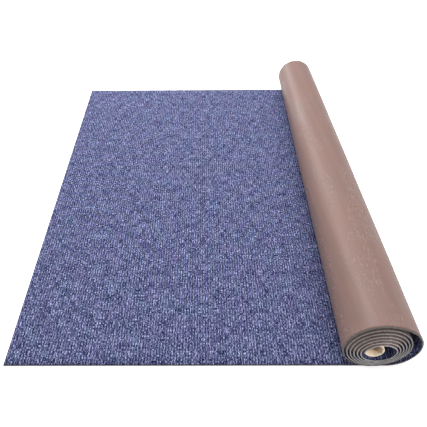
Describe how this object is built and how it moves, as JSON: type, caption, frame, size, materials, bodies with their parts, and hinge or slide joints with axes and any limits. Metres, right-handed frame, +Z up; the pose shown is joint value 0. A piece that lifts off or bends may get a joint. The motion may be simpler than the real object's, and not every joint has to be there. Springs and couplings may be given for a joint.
{
  "type": "carpet roll",
  "caption": "Partly unrolled ribbed marine carpet with a rubber back, wound face inwards round a loose cardboard tube.",
  "frame": {"origin": "middle of the footprint, on the floor", "axes": "+X across the floor from the free edge to the roll, +Y along the roll from its slack near end to its tight far end, +Z up"},
  "size_m": [1.343, 1.876, 0.2155],
  "materials": {
    "blue_pile": "matte",
    "grey_felt": "matte",
    "taupe_rubber": "matte",
    "kraft_board": "matte"
  },
  "bodies": {
    "carpet": {"face_pile": "blue_pile", "felt_base": "grey_felt", "rubber_backing": "taupe_rubber"},
    "core": {"core_tube": "kraft_board"}
  },
  "joints": [
    {"name": "core_slide", "type": "slide", "parent": "carpet", "child": "core", "axis": [0, -1, 0], "range_m": [-1.85, 1.85]}
  ]
}
